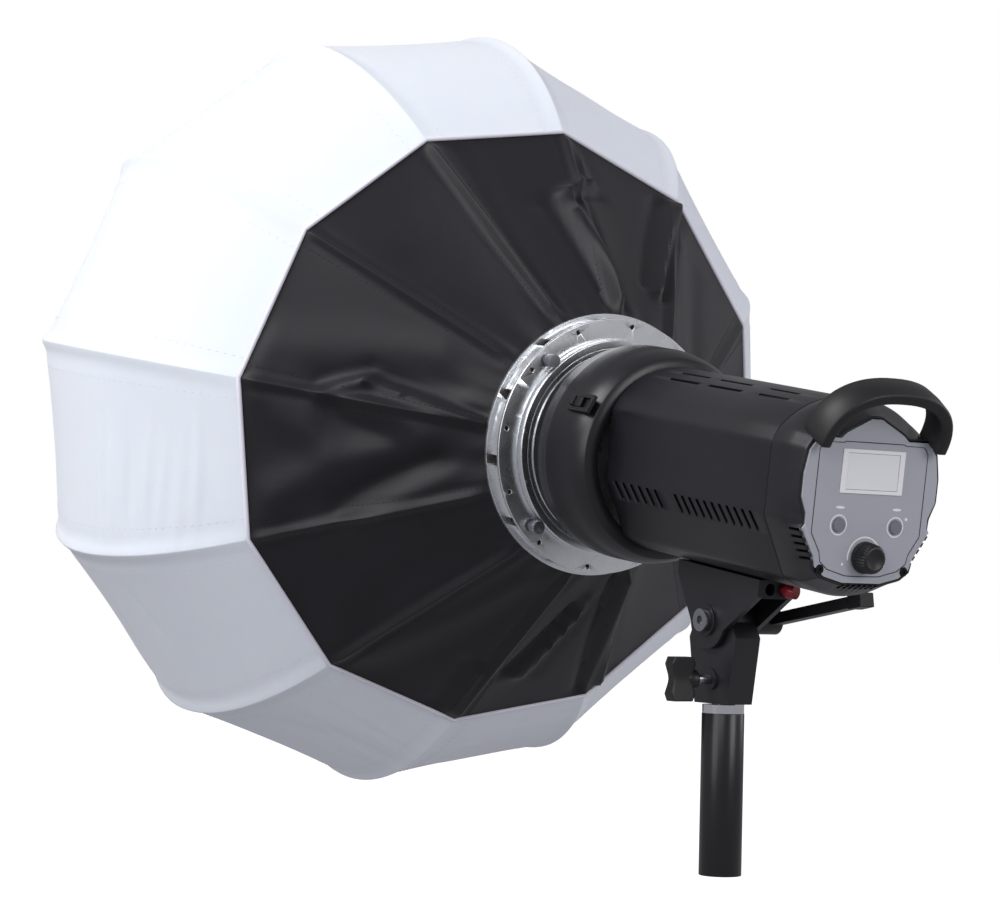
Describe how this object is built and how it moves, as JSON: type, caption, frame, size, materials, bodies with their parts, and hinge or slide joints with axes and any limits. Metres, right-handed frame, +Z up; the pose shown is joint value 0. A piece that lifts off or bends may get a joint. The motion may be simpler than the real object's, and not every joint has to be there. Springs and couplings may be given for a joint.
{
  "type": "studio softbox",
  "caption": "Round lantern softbox with a black back panel on a monolight flash head, joined by a speedring and held on a stand tube by a tilting bracket.",
  "frame": {"origin": "centre of the stand tube's lower end", "axes": "+Z up along the stand tube, the softbox looks along -Y and the control panel along +Y, +X to the side with the stand bracket's T-knob"},
  "size_m": [0.6464, 0.9377, 0.6757],
  "materials": {
    "tube_black": "satin",
    "chrome_ring": "polished",
    "stud_steel": "satin",
    "bracket_cast": "satin",
    "knob_plastic": "matte",
    "screw_steel": "satin",
    "red_plastic": "gloss",
    "shell_black": "satin",
    "ring_black": "satin",
    "zinc_plate": "zinc plated",
    "panel_grey": "satin",
    "white_plastic": "gloss",
    "display_glass": "gloss",
    "button_grey": "satin",
    "screw_black": "blacked",
    "board_green": "solder mask",
    "handle_black": "matte",
    "frosted_dome": "frosted",
    "white_enamel": "gloss",
    "tube_glass": "clear",
    "lamp_glass": "frosted",
    "lamp_ceramic": "glazed",
    "dome_glass": "frosted",
    "capacitor_blue": "sleeved",
    "contact_brass": "plated",
    "rod_steel": "polished",
    "black_nylon": "coated satin weave",
    "white_silk": "translucent plain weave",
    "knurled_steel": "knurled"
  },
  "bodies": {
    "stand": {"stand_tube": "tube_black", "tube_ferrule": "chrome_ring", "stand_stud": "stud_steel"},
    "bracket": {"bracket_base": "bracket_cast"},
    "stand_knob": {"stand_knob": "knob_plastic", "knob_shank": "screw_steel"},
    "head": {"tilt_fork": "bracket_cast", "tilt_bolt": "screw_steel", "tilt_nut": "screw_steel", "front_barrel": "shell_black", "mount_ring": "ring_black", "bayonet_insert": "zinc_plate", "slide_guide": "knob_plastic", "body_shell": "shell_black", "rear_bezel": "shell_black", "control_panel": "panel_grey", "display_frame": "white_plastic", "display_window": "display_glass", "panel_screws": "screw_black", "control_board": "board_green", "carry_handle": "handle_black", "sensor_dome": "frosted_dome", "reflector_plate": "white_enamel", "flash_tube": "tube_glass", "modelling_lamp": "lamp_glass", "lamp_socket": "lamp_ceramic", "glass_dome": "dome_glass", "fan_frame": "knob_plastic", "capacitors": "capacitor_blue", "main_board": "board_green", "mains_inlet": "knob_plastic", "inlet_pins": "contact_brass", "switch_frame": "knob_plastic", "sync_socket": "screw_steel"},
    "tilt_lever": {"tilt_lever": "knob_plastic", "lever_hub": "knob_plastic"},
    "umbrella_screw": {"umbrella_screw": "red_plastic"},
    "release_slide": {"release_slide": "knob_plastic"},
    "power_dial": {"power_dial": "knob_plastic"},
    "button_left": {"button_left": "button_grey"},
    "button_right": {"button_right": "button_grey"},
    "fan_rotor": {"fan_rotor": "knob_plastic"},
    "power_switch": {"power_switch": "knob_plastic"},
    "softbox": {"speedring_flange": "zinc_plate", "speedring_collar": "zinc_plate", "rod_plate": "zinc_plate", "rod_sockets": "zinc_plate", "ribs": "rod_steel", "front_hub": "knob_plastic", "back_panel": "black_nylon", "diffuser": "white_silk", "front_cap": "white_silk", "panel_hem": "white_silk"},
    "ring_knob_1": {"ring_knob_1": "knurled_steel"},
    "ring_knob_2": {"ring_knob_2": "knurled_steel"},
    "ring_knob_3": {"ring_knob_3": "knurled_steel"},
    "ring_knob_4": {"ring_knob_4": "knurled_steel"}
  },
  "joints": [
    {"name": "bracket_pan", "type": "hinge", "parent": "stand", "child": "bracket", "pos_m": [0, 0, 0.178], "axis": [0, 0, 1], "continuous": true},
    {"name": "stand_knob_turn", "type": "hinge", "parent": "bracket", "child": "stand_knob", "pos_m": [0.03, 0, 0.1367], "axis": [1, 0, 0], "continuous": true},
    {"name": "head_tilt", "type": "hinge", "parent": "bracket", "child": "head", "pos_m": [0, 0, 0.178], "axis": [-1, 0, 0], "range_deg": [-55, 60]},
    {"name": "tilt_lever_turn", "type": "hinge", "parent": "head", "child": "tilt_lever", "pos_m": [-0.03, 0, 0.178], "axis": [-1, 0, 0], "range_deg": [0, 80]},
    {"name": "umbrella_screw_turn", "type": "hinge", "parent": "head", "child": "umbrella_screw", "pos_m": [-0.0024, 0.04992, 0.20154], "axis": [-0.342, 0.9299, -0.1357], "continuous": true},
    {"name": "release_slide_travel", "type": "slide", "parent": "head", "child": "release_slide", "axis": [0, 0.9895, -0.1444], "range_m": [0, 0.008], "stiffness_N_per_m": 300, "springref_m": -0.004},
    {"name": "power_dial_turn", "type": "hinge", "parent": "head", "child": "power_dial", "pos_m": [0, 0.1535, 0.22231], "axis": [0, 0.9895, -0.1444], "continuous": true},
    {"name": "button_left_press", "type": "slide", "parent": "head", "child": "button_left", "axis": [0, -0.9895, 0.1444], "range_m": [0, 0.0012], "stiffness_N_per_m": 500, "springref_m": -0.001},
    {"name": "button_right_press", "type": "slide", "parent": "head", "child": "button_right", "axis": [0, -0.9895, 0.1444], "range_m": [0, 0.0012], "stiffness_N_per_m": 500, "springref_m": -0.001},
    {"name": "fan_spin", "type": "hinge", "parent": "head", "child": "fan_rotor", "pos_m": [0, 0.05813, 0.27513], "axis": [0, 0.9895, -0.1444], "continuous": true},
    {"name": "power_switch_rock", "type": "hinge", "parent": "head", "child": "power_switch", "pos_m": [-0.054, 0.06448, 0.27016], "axis": [0, -0.1444, -0.9895], "range_deg": [0, 16]},
    {"name": "softbox_turn", "type": "hinge", "parent": "head", "child": "softbox", "pos_m": [0, -0.15462, 0.30616], "axis": [0, 0.9895, -0.1444], "continuous": true},
    {"name": "ring_knob_1_turn", "type": "hinge", "parent": "softbox", "child": "ring_knob_1", "pos_m": [-0.0619, -0.14064, 0.36734], "axis": [0, 0.9895, -0.1444], "continuous": true},
    {"name": "ring_knob_2_turn", "type": "hinge", "parent": "softbox", "child": "ring_knob_2", "pos_m": [0.06255, -0.14073, 0.36669], "axis": [0, 0.9895, -0.1444], "continuous": true},
    {"name": "ring_knob_3_turn", "type": "hinge", "parent": "softbox", "child": "ring_knob_3", "pos_m": [0.0619, -0.1587, 0.24355], "axis": [0, 0.9895, -0.1444], "continuous": true},
    {"name": "ring_knob_4_turn", "type": "hinge", "parent": "softbox", "child": "ring_knob_4", "pos_m": [-0.06255, -0.15861, 0.24419], "axis": [0, 0.9895, -0.1444], "continuous": true}
  ]
}
